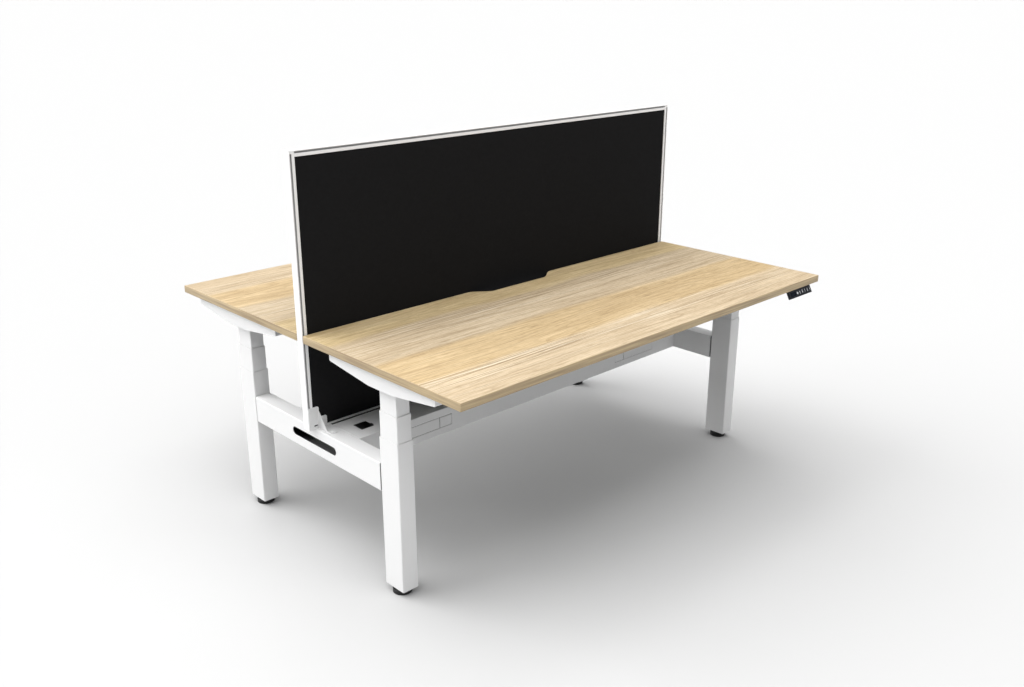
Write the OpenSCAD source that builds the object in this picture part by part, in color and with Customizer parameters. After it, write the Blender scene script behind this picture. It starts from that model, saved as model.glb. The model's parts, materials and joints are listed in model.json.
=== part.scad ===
// Height-adjustable benching desk for two, back to back, with a fabric screen between the worktops.
// Origin on the floor under the middle. +X along the worktops, -Y is the near side, +Z up.
// The far worktop and its lifting columns are the near ones turned half round about Z.

/* [Worktops] */
// Length of each worktop
desk_l = 1800; // [1500:10:2000]
// Depth of each worktop
desk_d = 750; // [650:10:850]
// Thickness of the laminated board
top_t = 25; // [18:1:32]
// Height of the worktop surface at rest
top_h = 762; // [720:1:820]
// Thickness of the edge banding
edge_t = 2; // [1:0.5:3]
// Width of the cable scallop at the rear edge
scallop_w = 424; // [300:4:560]
// Width of the straight bottom of the scallop
scallop_flat_w = 248; // [120:4:280]
// Depth of the cable scallop
scallop_d = 47; // [25:1:70]

/* [Lift] */
// Downward travel of a worktop from rest
lift_down = 142; // [80:2:160]
// Upward travel of a worktop from rest
lift_up = 508; // [300:4:508]

/* [Legs] */
// Width of the outer column tube, along the desk
leg_w = 60; // [56:1:66]
// Depth of the outer column tube, across the desk
leg_d = 90; // [80:1:100]
// Wall of the column tubes
tube_wall = 1.5; // [1.2:0.1:1.7]
// Outside corner radius of the outer tube
leg_r = 4; // [3:0.5:5]
// Step in from one tube to the next, on each side
stage_step = 2.5; // [2.3:0.1:3]
// Distance from the end of the worktop to the leg
leg_inset = 24.5; // [14:0.5:40]
// Distance of the columns in front of the middle of the worktop's depth
leg_forward = 15; // [0:1:40]
// Height of the underside of the legs above the floor
leg_z = 22.5; // [21:0.5:26]
// Gap between the arms and the outer tubes at the lowest setting
arm_low_gap = 17; // [8:1:30]
// Height of the middle tube that shows above the outer tube at the lowest setting
mid_low_show = 14; // [6:1:20]
// Thickness of the plate that closes the foot of a leg
base_t = 8; // [6:1:10]

/* [Feet] */
// Radius of the foot disc
foot_r = 30.5; // [24:0.5:32]
// Height of the foot disc
foot_h = 14; // [10:1:15]
// Radius of the foot stem
stem_r = 5; // [4:0.5:6]

/* [Arms] */
// Length by which an arm stops short of the worktop's edge at each end
arm_margin = 122; // [116:1:160]
// Width of the folded arm channel
arm_w = 84; // [80:1:90]
// Depth of the arm over the column
arm_h = 52; // [44:1:54]
// Depth of the arm at its ends
arm_end_h = 27; // [16:1:34]
// Length of the level part of the underside of the arm
arm_flat = 110; // [80:2:160]
// Offset of the arm from the middle of its column
arm_shift = 14; // [0:1:24]
// Thickness of folded steel sheet
sheet_t = 2.5; // [2:0.1:3]

/* [Crossbeams] */
// Height of the top of the crossbeams
beam_top = 436; // [420:1:450]
// Depth of the crossbeams
beam_h = 94; // [80:1:110]
// Length of the cable slot in a crossbeam
slot_l = 252; // [180:2:300]
// Height of the cable slot in a crossbeam
slot_h = 29; // [18:1:34]

/* [Tray] */
// Distance from the middle plane to the outside of the cable tray
tray_reach = 175; // [150:1:200]
// Thickness of the tray and lid sheet
tray_t = 2; // [1.2:0.1:2.4]
// Side of the square cable hole in a lid
hole_side = 51; // [36:1:60]
// Length of a power cut-out in the tray wall
cut_l = 236; // [180:2:280]
// Height of a power cut-out in the tray wall
cut_h = 40; // [30:1:46]
// Length of the short blanking panel
short_l = 54; // [40:1:70]

/* [Screen] */
// Height of the screen
screen_h = 900; // [850:10:1000]
// Thickness of the screen frame
screen_t = 30; // [28:1:34]
// Gap between the screen and each worktop
screen_gap = 3; // [3:0.5:8]
// Width of the frame extrusion seen from the front
rail_w = 19; // [18:0.5:24]
// Width of the groove in the frame
groove_w = 6; // [4:0.5:7]
// Thickness of the core board
board_t = 18; // [14:1:19]
// Thickness of the fabric pads
pad_t = 5; // [3:0.5:5]

/* [Handset] */
// Length of the handset
handset_l = 146; // [140:2:180]
// Height of the slanted face of the handset
face_h = 29; // [26:1:34]
// Backward tilt of the slanted face
face_tilt = 28; // [15:1:40]
// Distance from the end of the worktop to the handset
handset_inset = 60; // [40:2:120]
// Travel of a key
key_travel = 0.5; // [0.3:0.1:0.7]

/* [Hidden] */
overrun = 1;
scallop_steps = 16;
top_under = top_h - top_t;
half_l = desk_l / 2;
screen_half_t = screen_t / 2;
rear_y = screen_half_t + screen_gap;
front_y = rear_y + desk_d;
turn = 180;
colour_white = "#f2f2f2";
colour_oak = "#dcc294";
colour_edge = "#b39d79";
colour_black = "#1a1a1a";
colour_steel = "#b9bcc0";
colour_face = "#303236";
colour_board = "#8a7a62";
round_fn = 48;

// Columns
leg_x = half_l - leg_inset - leg_w / 2;
leg_y = rear_y + desk_d / 2 + leg_forward;
leg_inner_x = leg_x - leg_w / 2;
leg_inner_y = leg_y - leg_d / 2;
leg_top = top_under - lift_down - arm_h - arm_low_gap;
leg_len = leg_top - leg_z;
mid_w = leg_w - 2 * stage_step;
mid_d = leg_d - 2 * stage_step;
corner_share = 0.2;
mid_r = leg_r - corner_share * stage_step;
inner_w = mid_w - 2 * stage_step;
inner_d = mid_d - 2 * stage_step;
inner_r = mid_r - corner_share * stage_step;
mid_floor_t = 4;
stage_clear = 9.5;
inner_clear = 24;
mid_z = leg_z + base_t + stage_clear + lift_down / 2;
mid_top = leg_top + lift_down / 2 + mid_low_show;
gear_h = 34.5;
gear_z = top_under - sheet_t - gear_h;
inner_z = mid_z + mid_floor_t - lift_down / 2 + inner_clear + lift_down;

// Lifting screws
screw_r = 6;
screw_fit = 0.05;
screw_engage = 26;
screw_seat = 15;
post_r = 11;
post_bore_r = 8;
post_gap = 0.5;
carrier_wall = 2.5;
nut_h = 20;
nut_top_gap = 11;
nut_z = mid_top - nut_top_gap - nut_h;
post_top_gap = 9;
post_top = nut_z - lift_down / 2 - post_top_gap;
screw_top = gear_z + screw_seat;
screw_len = screw_top - nut_z + lift_up / 2 + screw_engage;

// Feet
stem_in = 21.5;
stem_top = leg_z + base_t + stem_in;
foot_edge = 2;
foot_hub_r = 12;
foot_hub_h = 2;
lock_nut_r = 9.8;
lock_nut_gap = 0.5;
lock_nut_h = leg_z - foot_h - foot_hub_h - lock_nut_gap;

// Arms and what they carry
arm_len = desk_d - 2 * arm_margin;
arm_y = leg_y - arm_shift;
arm_far_y = leg_y + arm_shift;
arm_edge_r = 5;
gear_w = 66;
gear_d = 96;
motor_r = 18;
motor_len = 96;
motor_gap = 1;
motor_drop = 20;
motor_z = top_under - sheet_t - motor_drop;
flange_hole_x = arm_w / 4;
flange_hole_share = 0.4;
flange_hole_y = arm_len * flange_hole_share;
wood_screw_r = 2.5;
wood_screw_head_r = 5;
wood_screw_head_h = 2.5;
wood_screw_len = 18;
wood_screw_play = 0.2;
wood_hole_r = wood_screw_r + wood_screw_play;
top_beam_d = 50;
top_beam_h = 25;
top_beam_wall = 2;
top_beam_in = 108;
top_beam_y = leg_y - top_beam_in;
top_beam_len = 2 * (leg_x - arm_w / 2);
control_l = 264;
control_d = 92;
control_h = 34;
control_out = 96;
control_y = leg_y + control_out;
control_r = 4;
socket_w = 14;
socket_h = 12;
socket_deep = 10;
socket_shares = [-0.36, -0.22, -0.08, 0.06, 0.3];

// Handset
face_z = top_under;
handset_t = 10;
handset_reach = 52;
ear_t = 7;
ear_in = 24;
handset_lip = 1.5;
key_w = 11;
key_h = 17;
key_pitch = 17;
key_proud = 0.8;
key_play = 0.3;
key_deep = 3;
key_first = 3.5;
handset_x = half_l - handset_inset - handset_l / 2;
face_top_y = front_y - handset_lip;
face_low_y = face_top_y + face_h * sin(face_tilt);
face_low_z = face_z - face_h * cos(face_tilt);
face_mid_y = (face_top_y + face_low_y) / 2;
face_mid_z = (face_z + face_low_z) / 2;

// Crossbeams and tray
beam_wall = 2.5;
beam_end_t = 4;
beam_end_in = 6;
beam_r = 3;
beam_z = beam_top - beam_h;
beam_mid = beam_z + beam_h / 2;
beam_len = 2 * (leg_inner_y - beam_end_t);
tray_z = beam_z + tray_t;
tray_half_l = leg_inner_x;
lid_play = 0.5;
lid_z = beam_top - tray_t;
lid_gap = 9;
lid_flange = 20;
hole_in = 71.5;
hole_x = tray_half_l - hole_in;
hole_y = 98;
hole_notch = 5;
hole_notch_share = 0.35;
cut_in = 385;
cut_x = tray_half_l - cut_in;
cut_up = 24;
cut_z = tray_z + cut_up;
blank_gap = 1.4;
blank_lip = 6;
tray_screw_in_share = 0.82;
tray_screw_out_share = 0.94;

// Screen
screen_z = beam_top;
screen_top = screen_z + screen_h;
post_x = half_l - rail_w;
post_cap_h = 10;
foot_rail_h = 6;
foot_rail_floor = 2;
groove_lip = 3;
groove_deep = 7;
board_in = 6;
slot_deep = 8;
core_wall = 1.8;
core_w = rail_w - slot_deep - 2 * core_wall;
core_d = screen_t - 2 * groove_deep - 2 * core_wall;
groove_x = half_l - groove_lip - groove_w / 2;
board_low_z = screen_z + foot_rail_floor;
board_high_z = screen_top - rail_w + board_in;

// Screen brackets
plate_out = 1;
plate_w = 39;
plate_h = 77;
plate_r = 7;
tab_w = 29;
tab_h = 39;
gusset_reach = 48;
gusset_top = 61;
bracket_base_w = 28;
bracket_base_reach = 73;
bracket_x = half_l - plate_out - plate_w;
plate_slot_l = 15;
plate_slot_h = 5;
plate_slot_in = 13;
plate_slot_z = 12;
plate_screw_low = 22;
plate_screw_high = 68.5;
plate_screw_r = 3;
screw_head_r = 4;
screw_head_h = 2;
rivet_r = 2.4;
rivet_h = 0.8;
rivet_y = 22;
rivet_gap = 4.4;
rivet_up = slot_h / 2 + rivet_gap + rivet_r;

// Shared shapes

// Rectangle with true round corners, centred
module round_rect(w, d, r) {
  square([w - 2 * r, d], center = true);
  square([w, d - 2 * r], center = true);
  for (sx = [-1, 1])
    for (sy = [-1, 1])
      translate([sx * (w / 2 - r), sy * (d / 2 - r)])
        circle(r = r, $fn = round_fn);
}

// Closed ring between a rounded rectangle and the same one set in by a wall
module ring_rect(w, d, r, wall) {
  difference() {
    round_rect(w, d, r);
    round_rect(w - 2 * wall, d - 2 * wall, max(r - wall, wall / 4));
  }
}

// Slot outline with round ends, lying along the first axis, centred
module slot_shape(l, h) {
  square([l - h, h], center = true);
  for (side = [-1, 1])
    translate([side * (l - h) / 2, 0])
      circle(r = h / 2, $fn = round_fn);
}

// Extrudes a YZ outline along X, from x0
module along_x(x0, len) {
  translate([x0, 0, 0])
    rotate([90, 0, 90])
      linear_extrude(height = len)
        children();
}

// Extrudes an XZ outline along Y, from y0 towards -Y
module along_y(y0, len) {
  translate([0, y0, 0])
    rotate([90, 0, 0])
      linear_extrude(height = len)
        children();
}

// Places its child at the near left or near right column of a desk
module at_column(side) {
  translate([side * leg_x, -leg_y, 0])
    children();
}

// Turns near pieces half round to the far side
module far_side() {
  rotate([0, 0, turn])
    children();
}

// Legs and feet

module leg_tube(sx, sy) {
  color(colour_white)
    translate([sx * leg_x, sy * leg_y, leg_z])
      linear_extrude(height = leg_len)
        ring_rect(leg_w, leg_d, leg_r, tube_wall);
}

module leg_base_post(sx, sy) {
  translate([sx * leg_x, sy * leg_y, leg_z])
    difference() {
      union() {
        linear_extrude(height = base_t)
          round_rect(leg_w - 2 * tube_wall, leg_d - 2 * tube_wall, leg_r - tube_wall);
        cylinder(h = post_top - leg_z, r = post_r, $fn = round_fn);
      }
      translate([0, 0, base_t])
        cylinder(h = post_top, r = post_bore_r, $fn = round_fn);
      translate([0, 0, -overrun])
        cylinder(h = base_t + 2 * overrun, r = stem_r + screw_fit, $fn = round_fn);
    }
}

module leg_base_posts() {
  color(colour_steel)
    for (sx = [-1, 1])
      for (sy = [-1, 1])
        leg_base_post(sx, sy);
}

module foot(sx, sy) {
  color(colour_black)
    translate([sx * leg_x, sy * leg_y, 0])
      union() {
        rotate_extrude($fn = round_fn)
          polygon([
            [0, 0],
            [foot_r - foot_edge / 2, 0],
            [foot_r, foot_edge / 2],
            [foot_r, foot_h - foot_edge],
            [foot_r - foot_edge, foot_h],
            [foot_hub_r, foot_h],
            [foot_hub_r, foot_h + foot_hub_h],
            [stem_r, foot_h + foot_hub_h],
            [stem_r, stem_top],
            [0, stem_top]
          ]);
        translate([0, 0, foot_h + foot_hub_h])
          cylinder(h = lock_nut_h, r = lock_nut_r, $fn = 6);
      }
}

// Crossbeams

// Hollow beam with a cable slot through both side walls. The plate at each leg is narrower than the
// beam, which leaves a shadow gap beside the leg.
module crossbeam(sx) {
  color(colour_white)
    translate([sx * leg_x, 0, beam_mid])
      union() {
        difference() {
          along_y(beam_len / 2, beam_len)
            ring_rect(leg_w, beam_h, beam_r, beam_wall);
          along_x(-leg_w, 2 * leg_w)
            slot_shape(slot_l, slot_h);
        }
        for (side = [-1, 1])
          translate([0, side * (beam_len / 2 + beam_end_t / 2), 0])
            cube([leg_w - 2 * beam_end_in, beam_end_t, beam_h], center = true);
      }
}

// Cable tray

module tray_cut() {
  translate([cut_x, cut_z])
    square([cut_l, cut_h], center = false);
}

// Folded pan between the crossbeams, open above, with power cut-outs near both ends of each wall
module cable_tray() {
  color(colour_white)
    difference() {
      union() {
        translate([-tray_half_l, -tray_reach, tray_z])
          cube([2 * tray_half_l, 2 * tray_reach, tray_t]);
        for (side = [-1, 1])
          translate([-tray_half_l, side * (tray_reach - tray_t / 2) - tray_t / 2, tray_z])
            cube([2 * tray_half_l, tray_t, lid_z - tray_z]);
        for (side = [-1, 1])
          translate([side * (tray_half_l - tray_t / 2) - tray_t / 2, -tray_reach, tray_z])
            cube([tray_t, 2 * tray_reach, lid_z - tray_z]);
      }
      along_y(tray_reach + overrun, 2 * (tray_reach + overrun))
        for (side = [0, 1])
          mirror([side, 0])
            tray_cut();
      translate([0, 0, beam_mid])
        along_x(-tray_half_l - overrun, 2 * (tray_half_l + overrun))
          slot_shape(slot_l, slot_h);
    }
}

// Flat lid of one side, with a stiffening flange beside the screen and a cable hole near each end
module tray_lid() {
  lid_near = screen_half_t + lid_gap;
  lid_d = tray_reach - lid_near;
  color(colour_white)
    difference() {
      union() {
        translate([-tray_half_l + lid_play, -tray_reach, lid_z])
          cube([2 * (tray_half_l - lid_play), lid_d, tray_t]);
        translate([-tray_half_l + lid_flange, -lid_near - tray_t, lid_z - lid_flange])
          cube([2 * (tray_half_l - lid_flange), tray_t, lid_flange + tray_t / 2]);
      }
      for (side = [-1, 1])
        translate([side * hole_x, -hole_y, lid_z]) {
          cube([hole_side, hole_side, 3 * tray_t], center = true);
          translate([-side * hole_side / 2, -hole_side * hole_notch_share / 2, 0])
            cube([2 * hole_notch, hole_side * hole_notch_share, 3 * tray_t], center = true);
        }
    }
}

// Panel that snaps in behind a cut-out: a flush face and a wider lip against the inside of the wall
module power_blank(x0, len, lip_low, lip_high) {
  union() {
    translate([x0 + blank_gap, -tray_reach, cut_z + blank_gap])
      cube([len - 2 * blank_gap, tray_t, cut_h - 2 * blank_gap]);
    translate([x0 + blank_gap - lip_low, -tray_reach + tray_t, cut_z - blank_lip])
      cube([len - 2 * blank_gap + lip_low + lip_high, tray_t, cut_h + 2 * blank_lip]);
  }
}

module power_blanks() {
  color(colour_white)
    for (end_side = [0, 1])
      for (wall_side = [0, 1])
        mirror([end_side, 0, 0])
          mirror([0, wall_side, 0]) {
            power_blank(cut_x, short_l, blank_lip, blank_gap / 2);
            power_blank(cut_x + short_l, cut_l - short_l, blank_gap / 2, blank_lip);
          }
}

// Screen

// Section of the frame: two front grooves, a slot for the board and a hollow core.
// The outer face is at the first axis value 0 and the slot opens at rail_w.
module rail_shape() {
  difference() {
    translate([0, -screen_half_t])
      square([rail_w, screen_t]);
    for (side = [-1, 1])
      translate([groove_lip, side * (screen_half_t - groove_deep / 2 + overrun / 2)])
        translate([0, -(groove_deep + overrun) / 2])
          square([groove_w, groove_deep + overrun]);
    translate([rail_w - slot_deep, -board_t / 2])
      square([slot_deep + overrun, board_t]);
    translate([core_wall, -core_d / 2])
      square([core_w, core_d]);
  }
}

// Post of the frame, closed by a plain cap above the grooves
module screen_post(sx) {
  color(colour_white)
    mirror([sx > 0 ? 1 : 0, 0, 0])
      translate([-half_l, 0, screen_z])
        union() {
          linear_extrude(height = screen_h - post_cap_h)
            rail_shape();
          translate([0, -screen_half_t, screen_h - post_cap_h])
            cube([rail_w, screen_t, post_cap_h]);
        }
}

module screen_top_rail() {
  color(colour_white)
    translate([0, 0, screen_top])
      along_x(-post_x, 2 * post_x)
        rotate(-90)
          rail_shape();
}

module screen_bottom_rail() {
  color(colour_white)
    translate([0, 0, screen_z])
      along_x(-post_x, 2 * post_x)
        difference() {
          translate([-screen_half_t, 0])
            square([screen_t, foot_rail_h]);
          translate([-board_t / 2, foot_rail_floor])
            square([board_t, foot_rail_h]);
        }
}

module screen_board() {
  color(colour_board)
    translate([-post_x - board_in, -board_t / 2, board_low_z])
      cube([2 * (post_x + board_in), board_t, board_high_z - board_low_z]);
}

module screen_fabric(sy) {
  color(colour_black)
    translate([-post_x, sy * (board_t / 2 + pad_t / 2) - pad_t / 2, screen_z + foot_rail_h])
      cube([2 * post_x, pad_t, screen_h - foot_rail_h - rail_w]);
}

// Folded bracket of the near left corner: stepped back plate, gusset and base flange
module screen_bracket() {
  difference() {
    union() {
      translate([-bracket_x, -screen_half_t, screen_z])
        along_y(0, sheet_t)
          union() {
            translate([-plate_w, 0])
              square([plate_w, plate_h - plate_r]);
            translate([-plate_w, 0])
              square([plate_w - plate_r, plate_h]);
            translate([-plate_r, plate_h - plate_r])
              circle(r = plate_r, $fn = round_fn);
            translate([0, 0])
              square([tab_w, tab_h - plate_r]);
            translate([0, 0])
              square([tab_w - plate_r, tab_h]);
            translate([tab_w - plate_r, tab_h - plate_r])
              circle(r = plate_r, $fn = round_fn);
          }
      translate([-bracket_x, -screen_half_t, screen_z])
        along_x(-sheet_t, sheet_t)
          polygon([
            [0, 0],
            [-gusset_reach, 0],
            [-gusset_reach, sheet_t],
            [-sheet_t, gusset_top],
            [0, gusset_top]
          ]);
      translate([-bracket_x - sheet_t, -screen_half_t, screen_z])
        linear_extrude(height = sheet_t)
          union() {
            translate([0, -(bracket_base_reach - bracket_base_w / 2)])
              square([bracket_base_w, bracket_base_reach - bracket_base_w / 2]);
            translate([bracket_base_w / 2, -(bracket_base_reach - bracket_base_w / 2)])
              circle(r = bracket_base_w / 2, $fn = round_fn);
          }
    }
    translate([-bracket_x - plate_slot_in, 0, screen_z + plate_slot_z])
      along_y(0, screen_t)
        slot_shape(plate_slot_l, plate_slot_h);
  }
}

module screen_brackets() {
  color(colour_white)
    for (end_side = [0, 1])
      for (wall_side = [0, 1])
        mirror([end_side, 0, 0])
          mirror([0, wall_side, 0])
            screen_bracket();
}

// Heads of the screws and rivets on the fixed frame, near left quarter
module frame_screw_set() {
  base_y = screen_half_t + bracket_base_reach - bracket_base_w / 2;
  translate([-bracket_x - sheet_t + bracket_base_w / 2, -base_y, screen_z + sheet_t])
    cylinder(h = screw_head_h, r = screw_head_r, $fn = round_fn);
  for (z = [plate_screw_low, plate_screw_high])
    translate([-groove_x, -screen_half_t - sheet_t, screen_z + z])
      rotate([90, 0, 0])
        cylinder(h = screw_head_h, r = plate_screw_r, $fn = round_fn);
  for (up = [-1, 1])
    translate([-leg_x - leg_w / 2, -rivet_y, beam_mid + up * rivet_up])
      rotate([0, -90, 0])
        cylinder(h = rivet_h, r = rivet_r, $fn = round_fn);
  for (y = [tray_reach * tray_screw_in_share, tray_reach * tray_screw_out_share])
    translate([-tray_half_l + tray_t, -y, tray_z + 3 * screw_head_r])
      rotate([0, 90, 0])
        cylinder(h = screw_head_h, r = screw_head_r, $fn = round_fn);
}

module frame_screws() {
  color(colour_steel)
    for (end_side = [0, 1])
      for (wall_side = [0, 1])
        mirror([end_side, 0, 0])
          mirror([0, wall_side, 0])
            frame_screw_set();
}

// Worktop

// Depth of the scallop at a share t of its sloping side, as half a cosine wave
function scallop_at(t) = scallop_d * (1 - cos(180 * t)) / 2;

// Slope of the same side
function scallop_slope(t) = scallop_d * 90 * PI / 180 * sin(180 * t) / ((scallop_w - scallop_flat_w) / 2);

// Point of the left side of the scallop, set in by a distance square to the edge
function scallop_point(t, inset) =
  let (
    slope = scallop_slope(t),
    len = sqrt(1 + slope * slope),
    x = -scallop_w / 2 + t * (scallop_w - scallop_flat_w) / 2
  )
  [x - inset * slope / len, -rear_y - scallop_at(t) - inset / len];

// Outline of the near worktop, set in all round
function worktop_outline(inset) = concat(
  [
    [-half_l + inset, -rear_y - inset],
    [-half_l + inset, -front_y + inset],
    [half_l - inset, -front_y + inset],
    [half_l - inset, -rear_y - inset]
  ],
  [for (i = [0 : scallop_steps])
    let (p = scallop_point(i / scallop_steps, inset)) [-p[0], p[1]]],
  [for (i = [scallop_steps : -1 : 0])
    scallop_point(i / scallop_steps, inset)]
);

// Places of the wood screws through one arm, from the middle of the arm
function arm_screw_places() = [
  for (sx = [-1, 1])
    for (sy = [-1, 1])
      [sx * flange_hole_x, sy * flange_hole_y]
];

module near_worktop() {
  color(colour_oak)
    difference() {
      translate([0, 0, top_under])
        linear_extrude(height = top_t)
          polygon(worktop_outline(edge_t));
      for (side = [-1, 1])
        for (p = arm_screw_places())
          translate([side * leg_x + p[0], arm_mid_y(side) + p[1], top_under - overrun])
            cylinder(h = wood_screw_len - sheet_t + overrun, r = wood_hole_r, $fn = round_fn);
    }
}

module near_edge_band() {
  color(colour_edge)
    translate([0, 0, top_under])
      linear_extrude(height = top_t)
        difference() {
          polygon(worktop_outline(0));
          polygon(worktop_outline(edge_t));
        }
}

// The left arm reaches further in and the right arm further out: one part, turned half round
function arm_mid_y(side) = side < 0 ? -arm_y : -arm_far_y;

// Point at angle a on the rounded lower corner of one end of an arm
function arm_corner(side, a) = [
  side * (arm_len / 2 - arm_edge_r) + arm_edge_r * cos(a),
  top_under - arm_end_h + arm_edge_r + arm_edge_r * sin(a)
];

// Outline of the side of an arm, from its middle
function arm_outline() = concat(
  [[-arm_len / 2, top_under]],
  [for (a = [180 : 15 : 270]) arm_corner(-1, a)],
  [[-arm_flat / 2, top_under - arm_h], [arm_flat / 2, top_under - arm_h]],
  [for (a = [270 : 15 : 360]) arm_corner(1, a)],
  [[arm_len / 2, top_under]]
);

// Folded channel over the head of a column, open below, closed at both ends
module near_arm(side) {
  color(colour_white)
    translate([side * leg_x, arm_mid_y(side), 0])
      difference() {
        along_x(-arm_w / 2, arm_w)
          polygon(arm_outline());
        translate([-arm_w / 2 + sheet_t, -arm_len / 2 + sheet_t, top_under - arm_h - overrun])
          cube([arm_w - 2 * sheet_t, arm_len - 2 * sheet_t, arm_h - sheet_t + overrun]);
        translate([-side * arm_w / 2, -leg_y - arm_mid_y(side), motor_z])
          rotate([0, 90, 0])
            cylinder(h = 3 * sheet_t, r = motor_r + motor_gap, center = true, $fn = round_fn);
        for (p = arm_screw_places())
          translate([p[0], p[1], top_under - sheet_t - overrun])
            cylinder(h = sheet_t + 2 * overrun, r = wood_hole_r, $fn = round_fn);
      }
}

module near_top_screws() {
  color(colour_steel)
    for (side = [-1, 1])
      for (p = arm_screw_places())
        translate([side * leg_x + p[0], arm_mid_y(side) + p[1], top_under - sheet_t]) {
          translate([0, 0, -wood_screw_head_h])
            cylinder(h = wood_screw_head_h, r = wood_screw_head_r, $fn = round_fn);
          cylinder(h = wood_screw_len - wood_screw_play, r = wood_screw_r, $fn = round_fn);
        }
}

// Rectangular tube that ties the two arms together
module near_top_beam() {
  color(colour_white)
    translate([-top_beam_len / 2, -top_beam_y, top_under - top_beam_h / 2])
      along_x(0, top_beam_len)
        difference() {
          square([top_beam_d, top_beam_h], center = true);
          square([top_beam_d - 2 * top_beam_wall, top_beam_h - 2 * top_beam_wall], center = true);
        }
}

// Gear housing on the head of each column, with its motor lying along the desk
module near_lift_drives() {
  color(colour_face)
    for (side = [-1, 1])
      at_column(side)
        difference() {
          union() {
            translate([0, 0, gear_z])
              linear_extrude(height = gear_h)
                round_rect(gear_w, gear_d, leg_r);
            translate([-side * gear_w / 2, 0, motor_z])
              rotate([0, -side * 90, 0])
                cylinder(h = motor_len, r = motor_r - motor_gap, $fn = round_fn);
          }
          translate([0, 0, gear_z - overrun])
            cylinder(h = screw_seat + 2 * overrun, r = screw_r + screw_fit, $fn = round_fn);
        }
}

// Upper column tubes
module near_inner_tubes() {
  color(colour_white)
    for (side = [-1, 1])
      at_column(side)
        translate([0, 0, inner_z])
          linear_extrude(height = gear_z - inner_z)
            ring_rect(inner_w, inner_d, inner_r, tube_wall);
}

// Middle column tubes, each with its floor and the carrier tube of its nut
module near_mid_tubes() {
  carrier_r = post_r + post_gap + carrier_wall;
  color(colour_white)
    for (side = [-1, 1])
      at_column(side) {
        translate([0, 0, mid_z])
          difference() {
            linear_extrude(height = mid_top - mid_z)
              round_rect(mid_w, mid_d, mid_r);
            translate([0, 0, mid_floor_t])
              linear_extrude(height = mid_top)
                difference() {
                  round_rect(mid_w - 2 * tube_wall, mid_d - 2 * tube_wall, mid_r - tube_wall);
                  circle(r = carrier_r, $fn = round_fn);
                }
            translate([0, 0, nut_z + nut_h - mid_z])
              cylinder(h = mid_top, r = carrier_r + overrun, $fn = round_fn);
            translate([0, 0, -overrun])
              cylinder(h = nut_z - mid_z + overrun, r = post_r + post_gap, $fn = round_fn);
            cylinder(h = mid_top, r = screw_r + screw_fit, $fn = round_fn);
          }
      }
}

// Lifting screw of one column
module near_screw(side) {
  color(colour_steel)
    at_column(side)
      translate([0, 0, screw_top - screw_len])
        cylinder(h = screw_len, r = screw_r, $fn = round_fn);
}

module near_control_box() {
  color(colour_black)
    translate([0, -control_y, top_under - control_h])
      difference() {
        linear_extrude(height = control_h)
          round_rect(control_l, control_d, control_r);
        for (share = socket_shares)
          translate([share * control_l, control_d / 2 - socket_deep / 2, control_h / 2])
            cube([socket_w, socket_deep + overrun, socket_h], center = true);
      }
}

// Handset

// Places its child on the slanted face: first axis along the desk, third axis out of the face
module on_face(along) {
  translate([along, -face_mid_y, face_mid_z])
    rotate([90 - face_tilt, 0, 0])
      children();
}

// Places of the five keys along the desk, from the outer end inwards
function key_along(i) = handset_x + handset_l / 2 - key_first - key_w / 2 - i * key_pitch;

module key_shape(grow) {
  square([key_w + 2 * grow, key_h + 2 * grow], center = true);
}

// Tilted flat housing, with a narrower ear behind it that is screwed up against the worktop
module near_handset() {
  color(colour_black)
    difference() {
      union() {
        along_x(handset_x - handset_l / 2, handset_l)
          polygon([
            [-face_top_y, face_z],
            [-face_low_y, face_low_z],
            [-face_low_y + handset_t * cos(face_tilt), face_low_z - handset_t * sin(face_tilt)],
            [-face_top_y + handset_t / cos(face_tilt), face_z]
          ]);
        translate([handset_x - handset_l / 2 + ear_in, -face_top_y + handset_t / 2, face_z - ear_t])
          cube([handset_l - 2 * ear_in, handset_reach - handset_t / 2, ear_t]);
      }
      for (i = [0 : 4])
        on_face(key_along(i))
          translate([0, 0, -key_deep - key_travel - key_play])
            linear_extrude(height = 2 * key_deep)
              key_shape(key_play);
    }
}

module near_key(i) {
  color(colour_face)
    on_face(key_along(i))
      translate([0, 0, -key_deep])
        linear_extrude(height = key_deep + key_proud)
          key_shape(0);
}

leg_tube(-1, -1);  // leg_tube_near_left
leg_tube(1, -1);  // leg_tube_near_right
leg_tube(-1, 1);  // leg_tube_far_left
leg_tube(1, 1);  // leg_tube_far_right
leg_base_posts();
foot(-1, -1);  // foot_near_left
foot(1, -1);  // foot_near_right
foot(-1, 1);  // foot_far_left
foot(1, 1);  // foot_far_right
crossbeam(-1);  // crossbeam_left
crossbeam(1);  // crossbeam_right
cable_tray();
tray_lid();  // tray_lid_near
far_side() tray_lid();  // tray_lid_far
power_blanks();
screen_post(-1);  // screen_post_left
screen_post(1);  // screen_post_right
screen_top_rail();
screen_bottom_rail();
screen_board();
screen_fabric(-1);  // screen_fabric_near
screen_fabric(1);  // screen_fabric_far
screen_brackets();
frame_screws();
near_worktop();
near_edge_band();
near_arm(-1);  // near_arm_left
near_arm(1);  // near_arm_right
near_top_beam();
near_lift_drives();
near_inner_tubes();
near_control_box();
near_handset();
near_top_screws();
near_mid_tubes();
near_screw(-1);  // near_screw_left
near_screw(1);  // near_screw_right
near_key(4);  // near_key_up
near_key(3);  // near_key_down
near_key(2);  // near_key_one
near_key(1);  // near_key_two
near_key(0);  // near_key_three
far_side() near_worktop();  // far_worktop
far_side() near_edge_band();  // far_edge_band
far_side() near_arm(1);  // far_arm_left
far_side() near_arm(-1);  // far_arm_right
far_side() near_top_beam();  // far_top_beam
far_side() near_lift_drives();  // far_lift_drives
far_side() near_inner_tubes();  // far_inner_tubes
far_side() near_control_box();  // far_control_box
far_side() near_handset();  // far_handset
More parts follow.
